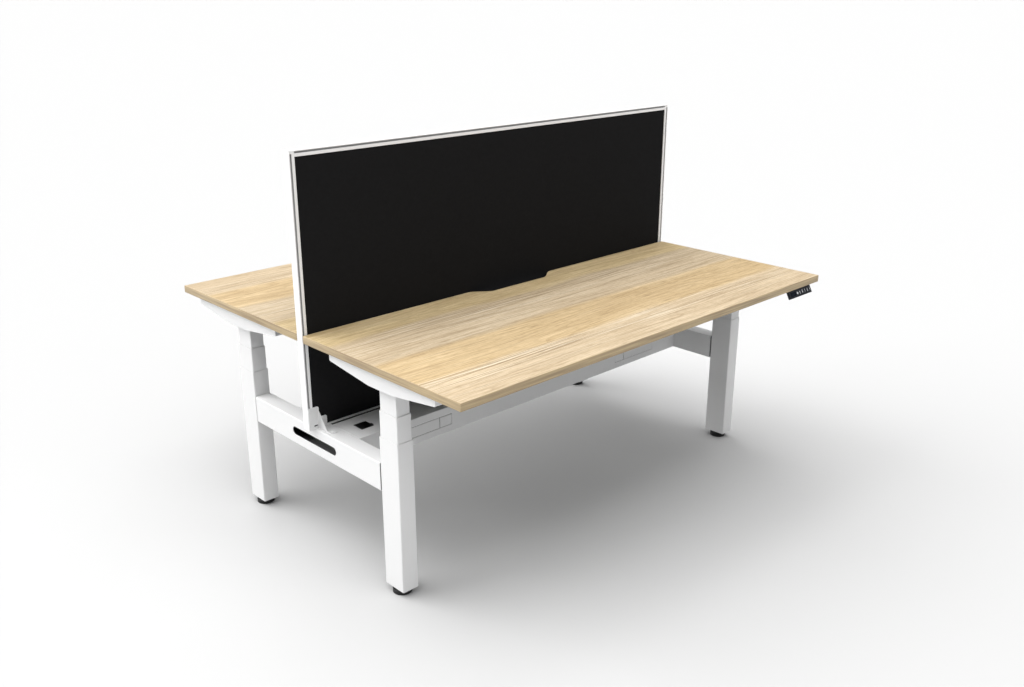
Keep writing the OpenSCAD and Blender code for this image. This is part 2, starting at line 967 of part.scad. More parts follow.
far_side() near_top_screws();  // far_top_screws
far_side() near_mid_tubes();  // far_mid_tubes
far_side() near_screw(1);  // far_screw_left
far_side() near_screw(-1);  // far_screw_right
far_side() near_key(4);  // far_key_up
far_side() near_key(3);  // far_key_down
far_side() near_key(2);  // far_key_one
far_side() near_key(1);  // far_key_two
far_side() near_key(0);  // far_key_three
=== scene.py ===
"""Visual model of a back-to-back height-adjustable benching desk, in metres, round its frame.

Laid out as an add-on and run as a script. New pieces are surfaces worked out with numpy; every
other piece is a node of the frame with rounded edges and its own finish.
"""

import json
import math

import bmesh
import bpy
import numpy as np
from bpy.props import FloatProperty, PointerProperty, StringProperty
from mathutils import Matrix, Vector

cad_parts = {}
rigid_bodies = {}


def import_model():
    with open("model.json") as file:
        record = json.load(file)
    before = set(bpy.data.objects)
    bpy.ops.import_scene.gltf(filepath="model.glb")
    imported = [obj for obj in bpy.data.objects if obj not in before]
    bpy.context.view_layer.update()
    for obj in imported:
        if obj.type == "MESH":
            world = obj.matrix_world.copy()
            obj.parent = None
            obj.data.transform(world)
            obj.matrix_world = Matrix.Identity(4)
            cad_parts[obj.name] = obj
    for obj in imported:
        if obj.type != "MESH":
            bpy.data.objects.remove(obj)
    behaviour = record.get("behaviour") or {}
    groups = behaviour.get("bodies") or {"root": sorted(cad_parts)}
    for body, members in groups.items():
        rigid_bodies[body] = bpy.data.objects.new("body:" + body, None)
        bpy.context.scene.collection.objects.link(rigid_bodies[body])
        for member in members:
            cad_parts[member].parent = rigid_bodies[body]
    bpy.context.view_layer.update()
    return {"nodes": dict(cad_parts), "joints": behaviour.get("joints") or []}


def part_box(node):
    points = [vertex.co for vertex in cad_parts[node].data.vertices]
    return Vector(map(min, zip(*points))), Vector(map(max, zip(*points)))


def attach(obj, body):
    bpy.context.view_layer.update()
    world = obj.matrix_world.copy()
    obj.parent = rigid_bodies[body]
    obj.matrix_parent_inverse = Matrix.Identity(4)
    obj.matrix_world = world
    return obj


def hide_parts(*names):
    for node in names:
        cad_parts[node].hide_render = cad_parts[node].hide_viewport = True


bl_info = {
    "name": "Benching desk",
    "version": (1, 0, 0),
    "blender": (4, 5, 0),
    "location": "View3D > Sidebar > Desk",
    "description": "Builds the looks of a two-person benching desk round its frame",
    "category": "Object",
}

for leftover in list(bpy.data.objects):
    bpy.data.objects.remove(leftover)
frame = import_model()

MM = 0.001
SIDES = ("near", "far")
HANDS = ("left", "right")
KEY_NAMES = ("up", "down", "one", "two", "three")

# Places read from the frame
BOARD_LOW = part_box("near_worktop")[0]
BAND_LOW, BAND_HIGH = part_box("near_edge_band")
FABRIC_LOW, FABRIC_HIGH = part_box("screen_fabric_near")
HANDSET_LOW, HANDSET_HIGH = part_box("near_handset")

# Points on a quarter circle of the worktop, and on a slope of its scallop in band and in board
QUARTER_POINTS = 5
BAND_SLOPE_POINTS, BOARD_SLOPE_POINTS = 17, 25

# Edges that turn by more than this are sharp, and points closer than these are one point: in the
# nodes of the frame before their edges are rounded, and in new pieces
SHARP_ANGLE = math.radians(40)
WELD_GAP, SAME_POINT = 0.01 * MM, 0.001 * MM
ROUNDING_STEPS = 2

# A box of painted shade inside a hollow section is set in by this share of the wall, so that it
# holds the wall's inner face and not its outer one
SHADE_BOX_INSET = 0.85

# Colour sockets of a Mix node, which have the same names as its number sockets
MIX_A, MIX_B, MIX_RESULT = 6, 7, 2

# Nearly all values of a noise lie between these
NOISE_LOW, NOISE_HIGH = 0.25, 0.75

# The oak print is four planks side by side. Shares of the worktop's depth where one ends and the
# next begins, the share over which their tones pass into each other, and how far and over what
# length the line between them wanders
PLANK_EDGES = (0.232, 0.507, 0.813)
PLANK_BLEND = 0.036
PLANK_WANDER, WANDER_LENGTH = 12 * MM, 420 * MM

# A ramp numbers the planks by greys that are one step apart, and a grey times the span is the
# seed of its plank
SEED_STEP, SEED_SPAN = 0.3, 40.0

# How strongly the print is lined, from the front edge back: a share of the depth and a strength
LINING = (
    (0.0, 0.30), (0.11, 0.45), (0.15, 1.0), (0.225, 0.95), (0.25, 0.15), (0.49, 0.20),
    (0.53, 0.45), (0.66, 0.55), (0.70, 0.80), (0.80, 0.55), (0.83, 0.25))

# How far the grain bows to either side, and the length and width of a cell of that bow
GRAIN_BOW, BOW_CELL = 9 * MM, (800 * MM, 200 * MM)

# Patterns of the grain: length and width of a cell of its noise, seed and detail. Pores are drawn
# 2.4 mm wide because 0.3 mm would not show. The field is smooth, and its contour lines are the
# growth lines with their long pointed figure.
GRAIN_CELLS = {
    "bands": (600 * MM, 50 * MM, 3.1, 1.0),
    "narrow_bands": (450 * MM, 18 * MM, 9.7, 1.0),
    "streaks": (220 * MM, 3.8 * MM, 31.9, 1.0),
    "pores": (30 * MM, 2.4 * MM, 47.0, 1.0),
    "dark_lines": (340 * MM, 3.6 * MM, 71.3, 1.0),
    "pale_rays": (380 * MM, 3.8 * MM, 58.3, 1.0),
    "flecks": (90 * MM, 4.2 * MM, 83.9, 1.0),
    "field": (1000 * MM, 100 * MM, 23.3, 0.0),
}
GROWTH_LINES = 13

# Layers of the print from the bottom up: pattern, blend, values of the pattern where the layer
# begins and is full, its strength, its tone, and the planks that it is for
GRAIN_LAYERS = (
    ("bands", "MULTIPLY", 0.32, 0.68, 0.45, "shade", "all"),
    ("narrow_bands", "MULTIPLY", 0.34, 0.66, 0.22, "shade", "all"),
    ("streaks", "MULTIPLY", 0.42, 0.70, 0.62, "shade", "all"),
    ("growth_lines", "MULTIPLY", 0.55, 1.00, 0.60, "shade", "calm"),
    ("dark_lines", "MULTIPLY", 0.54, 0.66, 1.00, "line", "lined"),
    ("pale_rays", "MIX", 0.58, 0.70, 0.80, "ray", "lined"),
    ("flecks", "MULTIPLY", 0.58, 0.72, 0.65, "line", "calm"),
    ("pores", "MULTIPLY", 0.46, 0.70, 0.62, "shade", "all"),
)

# How far along the pressed sheet the far board was cut, so that its figure is its own
FAR_SHEET_OFFSET = 4.3

# Camera, solved from the photograph's own straight edges: bearing from +X towards +Y and height of
# its place as seen from the desk in degrees, its place, and its focal length in pixels of the frame
CAMERA_BEARING, CAMERA_HEIGHT = -133.90, 19.52
CAMERA_PLACE = (-2.4764, -2.5996, 1.7846)
FOCAL_PIXELS, FRAME_PIXELS = 1000.36, 1024

# Soft lamps: bearing and height as above, then the light that each gives a surface turned to it.
# Matched to the tones of floor, legs and worktops in the photograph.
SOFT_LAMPS = {
    "soft_left_high": (180, 70, 0.63),
    "soft_rear_left": (135, 30, 0.735),
    "soft_right_high": (0, 70, 0.38),
    "soft_front": (270, 50, 0.445),
    "soft_rear": (90, 50, 0.43),
}


# Sizes and colours that a user would change


class DeskWorktopLooks(bpy.types.PropertyGroup):
    scallop_width: FloatProperty(
        name="Scallop width", description="Width of the cable scallop at the rear edge",
        default=424 * MM, unit="LENGTH")
    scallop_flat: FloatProperty(
        name="Scallop flat", description="Width of the straight bottom of the scallop",
        default=248 * MM, unit="LENGTH")
    scallop_depth: FloatProperty(
        name="Scallop depth", description="Depth of the cable scallop",
        default=47 * MM, unit="LENGTH")
    arris: FloatProperty(
        name="Arris", description="Radius of the trimmed edge of the banding",
        default=1.2 * MM, unit="LENGTH")
    corner: FloatProperty(
        name="Corner", description="Radius of the corners of the worktop seen from above",
        default=1.5 * MM, unit="LENGTH")
    front_plank: StringProperty(
        name="Front plank", description="Tone of the print's plank at the front edge",
        default="#d1bfa3")
    honey_plank: StringProperty(
        name="Honey plank", description="Tone of the warm plank behind it", default="#d2bb94")
    grey_plank: StringProperty(
        name="Grey plank", description="Tone of the cool plank behind that", default="#cfbea3")
    rear_plank: StringProperty(
        name="Rear plank", description="Tone of the warm plank at the rear edge",
        default="#d4c097")
    shade: StringProperty(
        name="Shade", description="Stain of bands, streaks, pores and growth lines",
        default="#d6cfc4")
    line: StringProperty(
        name="Line", description="Stain of the fine dark lines and flecks", default="#b5aa9a")
    ray: StringProperty(name="Ray", description="Tone of the pale rays", default="#e6ddca")
    band_dark: StringProperty(
        name="Dark banding", description="Tone of the dark streaks of the banding",
        default="#98856a")
    band_pale: StringProperty(
        name="Pale banding", description="Tone of the pale streaks of the banding",
        default="#bda985")


class DeskScreenLooks(bpy.types.PropertyGroup):
    thread: FloatProperty(
        name="Thread", description="Spacing of the threads of the fabric",
        default=1.1 * MM, unit="LENGTH")
    roll: FloatProperty(
        name="Roll", description="Radius with which the fabric turns in at its edges",
        default=3.0 * MM, unit="LENGTH")
    crown: FloatProperty(
        name="Crown", description="Height by which the fabric stands proud in the middle",
        default=0.4 * MM, unit="LENGTH")
    cloth: FloatProperty(
        name="Cloth", description="Thickness of the fabric", default=0.8 * MM, unit="LENGTH")
    black: StringProperty(name="Black", description="Colour of the fabric", default="#1d1d1e")
    frame_white: StringProperty(
        name="Frame white", description="Colour of the coat on the screen's frame",
        default="#f2f2f2")
    # Painted shade in the grooves of the frame: the share of its colour that is kept there
    groove_painted_shade: StringProperty(
        name="Groove", description="Share of the colour left in the grooves of the frame",
        default="#c4c4c4")


class DeskSteelLooks(bpy.types.PropertyGroup):
    bend: FloatProperty(
        name="Bend", description="Outside radius of a folded edge",
        default=1.4 * MM, unit="LENGTH")
    cut_edge: FloatProperty(
        name="Cut edge", description="Rounding of a cut edge under its coat",
        default=0.5 * MM, unit="LENGTH")
    white: StringProperty(
        name="White", description="Colour of the powder coat", default="#e5e5e5")
    # Painted shade inside the tray and the crossbeams: the share of the colour kept in there
    tray_painted_shade: StringProperty(
        name="Inside of the tray", description="Share of the colour left inside the tray",
        default="#5c5c5c")
    beam_painted_shade: StringProperty(
        name="Inside of the crossbeams",
        description="Share of the colour left inside the crossbeams", default="#8c8c8c")


class DeskFittingLooks(bpy.types.PropertyGroup):
    housing_edge: FloatProperty(
        name="Housing edge", description="Rounding of gear housings and control boxes",
        default=1.0 * MM, unit="LENGTH")
    box_black: StringProperty(
        name="Box black", description="Colour of the control boxes", default="#1c1d1f")
    foot_black: StringProperty(
        name="Foot black", description="Colour of the levelling feet", default="#141415")


class DeskHandsetLooks(bpy.types.PropertyGroup):
    mark_height: FloatProperty(
        name="Mark height", description="Height of a key's mark",
        default=12.0 * MM, unit="LENGTH")
    stroke: FloatProperty(
        name="Stroke", description="Width of a mark's stroke", default=1.3 * MM, unit="LENGTH")
    window_share: FloatProperty(
        name="Window place", description="Middle of the display as a share of the length",
        default=0.175)
    window_length: FloatProperty(
        name="Window length", description="Length of the display",
        default=37 * MM, unit="LENGTH")
    window_height: FloatProperty(
        name="Window height", description="Height of the display",
        default=16 * MM, unit="LENGTH")
    dot_share: FloatProperty(
        name="Dot place", description="Middle of the round mark as a share of the length",
        default=0.368)
    dot: FloatProperty(
        name="Dot", description="Radius of the round mark", default=4.4 * MM, unit="LENGTH")
    edge: FloatProperty(
        name="Edge", description="Rounding of the housing", default=0.8 * MM, unit="LENGTH")
    key_edge: FloatProperty(
        name="Key edge", description="Rounding of the keys", default=0.3 * MM, unit="LENGTH")
    black: StringProperty(name="Black", description="Colour of the housing", default="#202226")
    key_black: StringProperty(
        name="Key black", description="Colour of the keys", default="#26282c")
    ink: StringProperty(
        name="Ink", description="Colour of the printed marks", default="#c8cbce")


class DeskStageLooks(bpy.types.PropertyGroup):
    light: FloatProperty(
        name="Light", description="Strength of all the soft lamps together",
        default=1.0, min=0.0)
    softness: FloatProperty(
        name="Softness", description="Width of each lamp as seen from the desk",
        default=math.radians(55), unit="ROTATION")
    floor: StringProperty(name="Floor", description="Colour of the floor", default="#bcbcbc")


# Helpers


def linear(text, share=1.0):
    """Linear colour of an sRGB hex value such as #c0c0c0, made darker or paler by a share."""
    values = [int(text[i:i + 2], 16) / 255 for i in (1, 3, 5)]
    bent = [v / 12.92 if v <= 0.04045 else ((v + 0.055) / 1.055) ** 2.4 for v in values]
    return (*(min(1.0, share * v) for v in bent), 1.0)


def grey(value):
    """Colour that a ramp gives for a plain number."""
    return (value, value, value, 1.0)


def add_node(tree, kind, inputs=None, **settings):
    """Adds one shader node, sets its properties, then fills its inputs by name or number.

    An input takes a value, a socket to link, or a node whose first output is linked.
    """
    made = tree.nodes.new("ShaderNode" + kind)
    for key, value in settings.items():
        setattr(made, key, value)
    for key, value in (inputs or {}).items():
        if isinstance(value, bpy.types.Node):
            value = value.outputs[0]
        if isinstance(value, bpy.types.NodeSocket):
            tree.links.new(value, made.inputs[key])
        else:
            made.inputs[key].default_value = value
    return made


def fill_ramp(ramp, stops):
    """Gives a new colour ramp its stops, each a place and a colour, from the first to the last."""
    for element, (place, colour) in zip(ramp.elements, (stops[0], stops[-1])):
        element.position, element.color = place, colour
    for place, colour in stops[1:-1]:
        ramp.elements.new(place).color = colour


def start_material(name):
    """An empty node material, its node tree, and the coordinates that its patterns read."""
    material = bpy.data.materials.new(name)
    material.use_nodes = True
    tree = material.node_tree
    tree.nodes.clear()
    return material, tree, add_node(tree, "TexCoord")


def end_material(material, surface, height=None, depth=0.0):
    """Gives a material its surface, with a bump of a real depth in metres if it has a height."""
    tree = material.node_tree
    if height is not None:
        surface["Normal"] = add_node(tree, "Bump", {
            "Strength": 1.0, "Distance": depth, "Height": height})
    add_node(tree, "OutputMaterial", {"Surface": add_node(tree, "BsdfPrincipled", surface)})
    return material


def shade_box_of(low, high, wall):
    """Middle and half size of a box of painted shade that is set in by most of a wall."""
    return (low + high) / 2, (high - low) / 2 - SHADE_BOX_INSET * wall * Vector((1, 1, 1))


def dress(material, *node_names):
    """Gives nodes of the frame a finish."""
    for name in node_names:
        mesh = frame["nodes"][name].data
        mesh.materials.clear()
        mesh.materials.append(material)


def soften(width, *node_names):
    """Rounds the sharp edges of nodes of the frame, with live modifiers on the welded mesh."""
    for name in node_names:
        piece = frame["nodes"][name]
        weld = piece.modifiers.new("weld", "WELD")
        weld.merge_threshold = WELD_GAP
        bevel = piece.modifiers.new("rounded_edges", "BEVEL")
        bevel.width = width
        bevel.segments = ROUNDING_STEPS
        bevel.limit_method = "ANGLE"
        bevel.angle_limit = SHARP_ANGLE


def grid_faces(rows, columns, wrap_columns=False):
    """Four-cornered faces of a grid of points that are counted row by row.

    Wrapped columns join the last column to the first.
    """
    i = np.arange(rows - 1)[:, None]
    j = np.arange(columns if wrap_columns else columns - 1)[None, :]
    j_next = (j + 1) % columns
    corners = [i * columns + j, i * columns + j_next,
               (i + 1) * columns + j_next, (i + 1) * columns + j]
    return np.stack(corners, -1).reshape(-1, 4)


def slab_faces(rows, columns):
    """Faces of two equal grids, one after the other, joined round their rims into a closed slab."""
    top = grid_faces(rows, columns)
    under = top[:, ::-1] + rows * columns
    index = np.arange(rows * columns).reshape(rows, columns)
    rim = np.concatenate([index[0, :-1], index[:-1, -1], index[-1, :0:-1], index[:0:-1, 0]])
    after = np.roll(rim, -1)
    sides = np.stack([rim, rim + rows * columns, after + rows * columns, after], -1)
    return np.concatenate([top, under, sides])


def close_shell(name, mesh):
    """Merges a mesh's double points, turns its faces outwards and puts it into the scene."""
    shell = bmesh.new()
    shell.from_mesh(mesh)
    bmesh.ops.remove_doubles(shell, verts=shell.verts, dist=SAME_POINT)
    bmesh.ops.recalc_face_normals(shell, faces=shell.faces)
    shell.to_mesh(mesh)
    shell.free()
    piece = bpy.data.objects.new(name, mesh)
    bpy.context.scene.collection.objects.link(piece)
    return piece


def make_piece(name, points, faces, material, uv=None, second=None, second_faces=None):
    """A smooth piece with sharp edges from corner points and faces.

    The UV map is given per point, and the faces marked by second_faces take the second material.
    """
    mesh = bpy.data.meshes.new(name)
    mesh.from_pydata(points.reshape(-1, 3).tolist(), [], faces.tolist())
    mesh.materials.append(material)
    if second is not None:
        mesh.materials.append(second)
        mesh.polygons.foreach_set("material_index", np.asarray(second_faces, np.int32))
    if uv is not None:
        layer = mesh.uv_layers.new(name="metres")
        corner_points = np.empty(len(mesh.loops), int)
        mesh.loops.foreach_get("vertex_index", corner_points)
        corner_uv = uv.reshape(-1, 2)[corner_points]
        layer.data.foreach_set("uv", corner_uv.astype(np.float32).ravel())
    piece = close_shell(name, mesh)
    mesh.shade_smooth()
    mesh.set_sharp_from_angle(angle=SHARP_ANGLE)
    return piece


def turned(points, side):
    """Near points as they are, and far ones turned half round the upright axis."""
    return points if side == "near" else points * np.array([-1, -1, 1])


def looking_in(bearing, height):
    """Turn of a camera or a lamp that looks at the desk from a bearing and a height in degrees."""
    bearing, height = math.radians(bearing), math.radians(height)
    outwards = Vector((math.cos(bearing) * math.cos(height),
                       math.sin(bearing) * math.cos(height), math.sin(height)))
    return (-outwards).to_track_quat("-Z", "Y").to_euler()


# Finishes


def long_grain(tree, along, across, length, width, seed, detail=1.0, roughness=0.5):
    """Noise drawn out along the grain: one cell is length long and width wide, in metres."""
    spot = add_node(tree, "CombineXYZ", {
        "X": add_node(tree, "Math", {0: along, 1: 1 / length}, operation="MULTIPLY"),
        "Y": add_node(tree, "Math", {0: across, 1: 1 / width}, operation="MULTIPLY"),
        "Z": seed})
    return add_node(tree, "TexNoise", {
        "Vector": spot, "Scale": 1.0, "Detail": detail, "Roughness": roughness})


def oak_planks(tree, share, looks):
    """Tone, seed and strength of the lines of each plank, from the share of the worktop's depth.

    The seed gives each plank its own stretch of noise.
    """
    tones = [linear(looks.front_plank), linear(looks.honey_plank), linear(looks.grey_plank),
             linear(looks.rear_plank)]
    tone_stops = [(0.0, tones[0])]
    for place, before, after in zip(PLANK_EDGES, tones, tones[1:]):
        tone_stops += [(place - PLANK_BLEND / 2, before), (place + PLANK_BLEND / 2, after)]
    tone_stops.append((1.0, tones[-1]))
    planks = add_node(tree, "ValToRGB", {"Fac": share})
    fill_ramp(planks.color_ramp, tone_stops)
    numbers = add_node(tree, "ValToRGB", {"Fac": share})
    numbers.color_ramp.interpolation = "CONSTANT"
    fill_ramp(numbers.color_ramp, [
        (place, grey(SEED_STEP * number)) for number, place in enumerate((0.0, *PLANK_EDGES))])
    lining = add_node(tree, "ValToRGB", {"Fac": share})
    fill_ramp(lining.color_ramp, [(place, grey(strength)) for place, strength in LINING])
    seed = add_node(tree, "Math", {0: numbers, 1: SEED_SPAN}, operation="MULTIPLY")
    return planks, seed, lining


def oak_grain(tree, along, back, plank_seed):
    """Patterns of the grain by name. They bow slowly to either side and differ between planks."""
    bow = add_node(tree, "MapRange", {
        "Value": long_grain(tree, along, back, *BOW_CELL, plank_seed, detail=0.0),
        "From Min": NOISE_LOW, "From Max": NOISE_HIGH, "To Min": -GRAIN_BOW, "To Max": GRAIN_BOW})
    bent = add_node(tree, "Math", {0: back, 1: bow}, operation="ADD")
    patterns = {}
    for name, (length, width, seed, detail) in GRAIN_CELLS.items():
        own_seed = add_node(tree, "Math", {0: plank_seed, 1: seed}, operation="ADD")
        patterns[name] = long_grain(tree, along, bent, length, width, own_seed, detail)
    contours = add_node(tree, "Math", {
        0: patterns.pop("field"), 1: GROWTH_LINES}, operation="MULTIPLY")
    patterns["growth_lines"] = add_node(tree, "Math", {0: contours}, operation="FRACT")
    return patterns


def oak_print(tree, along, back, looks):
    """Colour and relief of the oak print, from the metres along the grain and back from the front
    edge."""
    wander = add_node(tree, "MapRange", {
        "Value": add_node(tree, "TexNoise", {
            "Vector": add_node(tree, "CombineXYZ", {"X": along, "Y": back}),
            "Scale": 1 / WANDER_LENGTH, "Detail": 1.0}),
        "From Min": NOISE_LOW, "From Max": NOISE_HIGH,
        "To Min": -PLANK_WANDER, "To Max": PLANK_WANDER})
    share = add_node(tree, "Math", {
        0: add_node(tree, "Math", {0: back, 1: wander}, operation="ADD"),
        1: 1 / (BAND_HIGH.y - BAND_LOW.y)}, operation="MULTIPLY")
    colour, plank_seed, lined = oak_planks(tree, share, looks)
    calm = add_node(tree, "Math", {0: 1.0, 1: lined}, operation="SUBTRACT")
    shares = {"all": 1.0, "lined": lined, "calm": calm}
    patterns = oak_grain(tree, along, back, plank_seed)
    for pattern, blend, low, high, strength, tone, planks in GRAIN_LAYERS:
        amount = add_node(tree, "MapRange", {
            "Value": patterns[pattern], "From Min": low, "From Max": high, "To Max": strength})
        amount = add_node(tree, "Math", {0: amount, 1: shares[planks]}, operation="MULTIPLY")
        colour = add_node(tree, "Mix", {
            "Factor": amount, MIX_A: colour, MIX_B: linear(getattr(looks, tone))},
            data_type="RGBA", blend_type=blend).outputs[MIX_RESULT]
    return colour, patterns["streaks"]


def oak_laminate(looks):
    """Melamine oak laminate, pressed on a textured plate: a matt print with a shallow long-grain
    emboss."""
    material, tree, place = start_material("oak_laminate_matt_melamine")
    axes = add_node(tree, "SeparateXYZ", {0: place.outputs["UV"]})
    colour, relief = oak_print(tree, axes.outputs["X"], axes.outputs["Y"], looks)
    surface = {"Base Color": colour, "Roughness": 0.48, "IOR": 1.5, "Specular IOR Level": 0.35}
    return end_material(material, surface, relief, 0.05 * MM)


def oak_banding(looks):
    """Printed ABS edge banding, extruded and trimmed: the same oak run along the edge, a little
    darker, in streaks 9 mm wide."""
    material, tree, place = start_material("oak_print_abs_edge_banding")
    axes = add_node(tree, "SeparateXYZ", {0: place.outputs["UV"]})
    streak = long_grain(
        tree, axes.outputs["X"], axes.outputs["Y"], 300 * MM, 9 * MM, 0.0,
        detail=3.0, roughness=0.6)
    share = add_node(tree, "MapRange", {"Value": streak, "From Min": 0.36, "From Max": 0.64})
    tone = add_node(tree, "Mix", {
        "Factor": share, MIX_A: linear(looks.band_dark), MIX_B: linear(looks.band_pale)},
        data_type="RGBA").outputs[MIX_RESULT]
    surface = {"Base Color": tone, "Roughness": 0.5, "IOR": 1.52, "Specular IOR Level": 0.35}
    return end_material(material, surface, streak, 0.04 * MM)


def powder_coat(name, colour, grit, roughness, shaded_hollows):
    """Powder coat, sprayed and baked: flat colour with a fine orange-peel of one grit in metres.

    Hollow sections and grooves get painted shade: inside each box the colour is multiplied down to
    stand in for the shade that falls in there. A shaded hollow is the share of the colour left in
    it, then a middle and a half size in metres that are mirrored over the middle planes of the
    desk.
    """
    material, tree, place = start_material(name)
    peel = add_node(tree, "TexNoise", {
        "Vector": place.outputs["Object"], "Scale": 1 / grit, "Detail": 2.0})
    cloud = add_node(tree, "TexNoise", {
        "Vector": place.outputs["Object"], "Scale": 1 / (120 * MM), "Detail": 1.0})
    tone = add_node(tree, "Mix", {
        "Factor": cloud, MIX_A: linear(colour), MIX_B: linear(colour, 0.975)},
        data_type="RGBA").outputs[MIX_RESULT]
    mirrored = add_node(tree, "VectorMath", {0: place.outputs["Object"]}, operation="ABSOLUTE")
    axes = add_node(tree, "SeparateXYZ", {0: mirrored})
    # Painted shade: the colour inside each box is darkened to stand in for the shade in hollows and
    # grooves
    for share, (middle, half) in shaded_hollows:
        inside = 1.0
        for axis in range(3):
            within = add_node(tree, "Math", {
                0: axes.outputs[axis], 1: middle[axis], 2: half[axis]}, operation="COMPARE")
            inside = add_node(tree, "Math", {0: within, 1: inside}, operation="MULTIPLY")
        tone = add_node(tree, "Mix", {
            "Factor": inside, MIX_A: tone, MIX_B: linear(share)},
            data_type="RGBA", blend_type="MULTIPLY").outputs[MIX_RESULT]
    surface = {"Base Color": tone, "Roughness": roughness, "IOR": 1.5, "Specular IOR Level": 0.4}
    return end_material(material, surface, peel, 0.03 * MM)


def woven_fabric(looks):
    """Plain-woven polyester, stretched over its board: threads cross over and under, so light
    breaks up softly. Slubs 9 mm apart make it a little uneven."""
    material, tree, place = start_material("woven_polyester_panel_fabric")
    axes = add_node(tree, "SeparateXYZ", {0: place.outputs["Object"]})
    turns = math.pi / looks.thread
    waves = [
        add_node(tree, "Math", {
            0: add_node(tree, "Math", {0: axes.outputs[axis], 1: turns}, operation="MULTIPLY")},
            operation="SINE")
        for axis in ("X", "Z")
    ]
    crossing = add_node(tree, "Math", {0: waves[0], 1: waves[1]}, operation="MULTIPLY")
    slub = add_node(tree, "TexNoise", {
        "Vector": place.outputs["Object"], "Scale": 1 / (9 * MM), "Detail": 3.0,
        "Roughness": 0.6})
    share = add_node(tree, "MapRange", {"Value": slub, "From Min": 0.3, "From Max": 0.7})
    tone = add_node(tree, "Mix", {
        "Factor": share, MIX_A: linear("#1a1a1b"), MIX_B: linear(looks.black)},
        data_type="RGBA").outputs[MIX_RESULT]
    surface = {"Base Color": tone, "Roughness": 0.95, "IOR": 1.45, "Specular IOR Level": 0.08}
    return end_material(material, surface, crossing, 0.10 * MM)


def plain_finish(name, tones, size, surface, depth=0.0, detail=1.0, roughness=0.5):
    """A plain finish that is mottled between two tones in patches of one size in metres.

    The mottle is raised as well if it has a depth.
    """
    material, tree, place = start_material(name)
    mottle = add_node(tree, "TexNoise", {
        "Vector": place.outputs["Object"], "Scale": 1 / size, "Detail": detail,
        "Roughness": roughness})
    tone = add_node(tree, "Mix", {
        "Factor": mottle, MIX_A: tones[0], MIX_B: tones[1]},
        data_type="RGBA").outputs[MIX_RESULT]
    surface = {"Base Color": tone, **surface}
    return end_material(material, surface, mottle if depth else None, depth)


def backing_laminate():
    """Plain grey backing laminate of the underside, hot-pressed: an even matt sheet with a faint
    mottle."""
    return plain_finish(
        "plain_grey_backing_laminate", (linear("#92928f"), linear("#9b9b98")), 3 * MM,
        {"Roughness": 0.6, "IOR": 1.5, "Specular IOR Level": 0.3},
        depth=0.02 * MM, detail=2.0, roughness=0.6)


def moulded_plastic(name, colour, roughness):
    """Injection-moulded plastic with a spark-eroded grain of 0.5 mm: soft wide highlights."""
    return plain_finish(
        name, (linear(colour), linear(colour, 1.25)), 0.5 * MM,
        {"Roughness": roughness, "IOR": 1.5, "Specular IOR Level": 0.4}, depth=0.02 * MM)


def display_window():
    """Smoked acrylic, polished: near black with one clear reflection."""
    return plain_finish(
        "smoked_acrylic_window", (linear("#1b1e24"), linear("#22262d")), 14 * MM,
        {"Roughness": 0.12, "IOR": 1.49})


def pad_ink(looks):
    """White pad-printed ink: an opaque, slightly uneven film."""
    return plain_finish(
        "white_pad_printed_ink", (linear(looks.ink), linear("#d6d8da")), 1.5 * MM,
        {"Roughness": 0.45, "IOR": 1.5, "Specular IOR Level": 0.3})


def floor_paint(looks):
    """Seamless studio floor, painted matt: one pale grey that the lamps bring up to white."""
    return plain_finish(
        "matt_white_studio_floor", (linear(looks.floor), linear(looks.floor, 0.99)), 6 * MM,
        {"Roughness": 1.0, "Specular IOR Level": 0.0})


def zinc_plate():
    """Bright zinc plate on turned and headed steel: a grey metal with faint turning lines, 11 mm
    long and 0.45 mm apart."""
    material, tree, place = start_material("zinc_plated_steel")
    lines = add_node(tree, "TexNoise", {
        "Vector": add_node(tree, "Mapping", {
            "Vector": place.outputs["Object"], "Scale": (90.0, 90.0, 2200.0)}),
        "Scale": 1.0, "Detail": 2.0})
    tone = add_node(tree, "Mix", {
        "Factor": lines, MIX_A: linear("#b4b8bc"), MIX_B: linear("#d2d4d6")},
        data_type="RGBA").outputs[MIX_RESULT]
    surface = {"Base Color": tone, "Metallic": 1.0, "Roughness": 0.32}
    return end_material(material, surface, lines, 0.01 * MM)


def cast_housing():
    """Pressure-cast aluminium with black paint: slightly pebbled, half matt."""
    material, tree, place = start_material("black_painted_cast_aluminium")
    pebbles = add_node(tree, "TexVoronoi", {
        "Vector": place.outputs["Object"], "Scale": 1 / (2.5 * MM)})
    patch = add_node(tree, "TexNoise", {
        "Vector": place.outputs["Object"], "Scale": 1 / (30 * MM), "Detail": 2.0})
    tone = add_node(tree, "Mix", {
        "Factor": patch, MIX_A: linear("#1d1e20"), MIX_B: linear("#2a2b2e")},
        data_type="RGBA").outputs[MIX_RESULT]
    surface = {"Base Color": tone, "Roughness": 0.55, "IOR": 1.5, "Specular IOR Level": 0.4}
    return end_material(material, surface, pebbles, 0.05 * MM)


def chip_board():
    """Raw particle board, pressed from chips of 4 mm: mottled tan flakes."""
    material, tree, place = start_material("raw_particle_board")
    chips = add_node(tree, "TexVoronoi", {
        "Vector": place.outputs["Object"], "Scale": 1 / (4 * MM)})
    tone = add_node(tree, "Mix", {
        "Factor": chips.outputs["Color"], MIX_A: linear("#8c7451"), MIX_B: linear("#b89b70")},
        data_type="RGBA").outputs[MIX_RESULT]
    surface = {"Base Color": tone, "Roughness": 0.9, "IOR": 1.45, "Specular IOR Level": 0.2}
    return end_material(material, surface, chips, 0.1 * MM)


# Shapes


